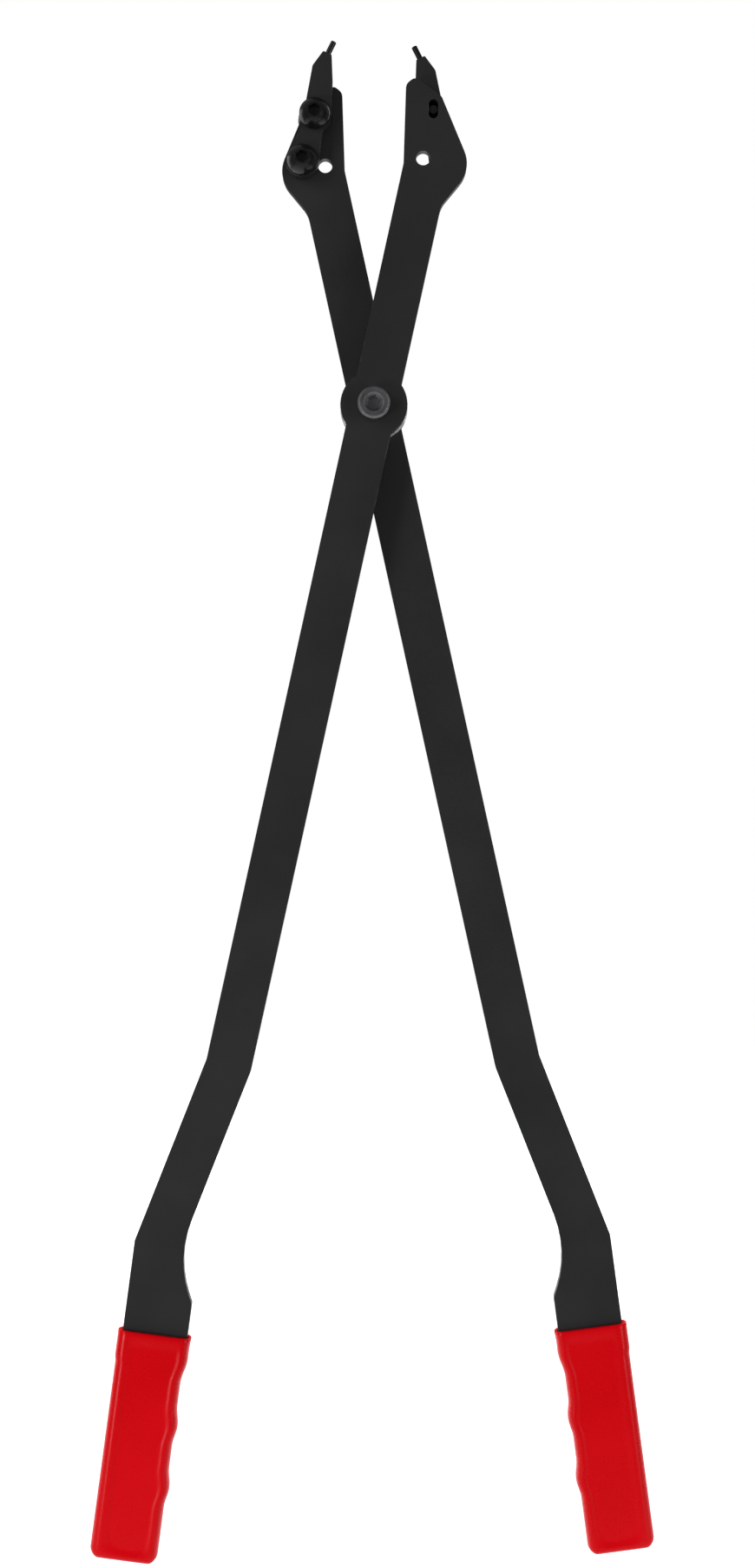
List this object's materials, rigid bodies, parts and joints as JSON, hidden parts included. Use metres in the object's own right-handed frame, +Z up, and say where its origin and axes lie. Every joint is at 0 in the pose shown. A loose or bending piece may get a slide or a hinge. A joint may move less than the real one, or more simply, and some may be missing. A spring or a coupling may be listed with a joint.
{
  "type": "coil spring compressor",
  "caption": "Long scissor-type spring tool: two crossed flat steel levers on one bolt, pinned jaw tips with one adjustable, and red vinyl handle grips.",
  "frame": {"origin": "middle of the main pivot, on the bolt's axis, half way between the two levers", "axes": "+Z up towards the tips, the levers' front faces look to -Y, the bolt's axis lies along Y, +X to the right seen from the front"},
  "size_m": [0.2546, 0.0389, 0.6833],
  "materials": {
    "black_paint": "satin black",
    "black_oxide": "glossy black oxide",
    "dark_steel": "satin dark oxide",
    "zinc_plate": "bright zinc plate",
    "red_vinyl": "glossy dipped vinyl",
    "nylon": "moulded"
  },
  "bodies": {
    "front_lever": {"front_arm": "black_paint", "front_grip": "red_vinyl", "pivot_bolt": "dark_steel", "pivot_washer_front": "zinc_plate", "pivot_washer_middle": "zinc_plate", "pivot_washer_rear": "zinc_plate", "pivot_back_washer": "zinc_plate", "pivot_lock_nut": "zinc_plate", "pivot_nut_insert": "nylon", "front_tip_plate": "black_paint", "front_tip_pin": "black_oxide", "front_tip_clamp_screw": "black_oxide", "front_tip_key_screw": "black_oxide"},
    "rear_lever": {"rear_arm": "black_paint", "rear_grip": "red_vinyl", "rear_tip_pivot_screw": "black_oxide"},
    "rear_tip": {"rear_tip_plate": "black_paint", "rear_tip_pin": "black_oxide", "rear_tip_clamp_screw": "black_oxide", "rear_tip_clamp_washer": "zinc_plate", "rear_tip_clamp_nut": "zinc_plate"}
  },
  "joints": [
    {"name": "main_pivot", "type": "hinge", "parent": "front_lever", "child": "rear_lever", "pos_m": [0, 0, 0], "axis": [0, -1, 0], "range_deg": [-8.5, 40]},
    {"name": "rear_tip_adjust", "type": "hinge", "parent": "rear_lever", "child": "rear_tip", "pos_m": [-0.03218, 0, 0.11098], "axis": [0, 1, 0], "range_deg": [-4, 10]}
  ]
}
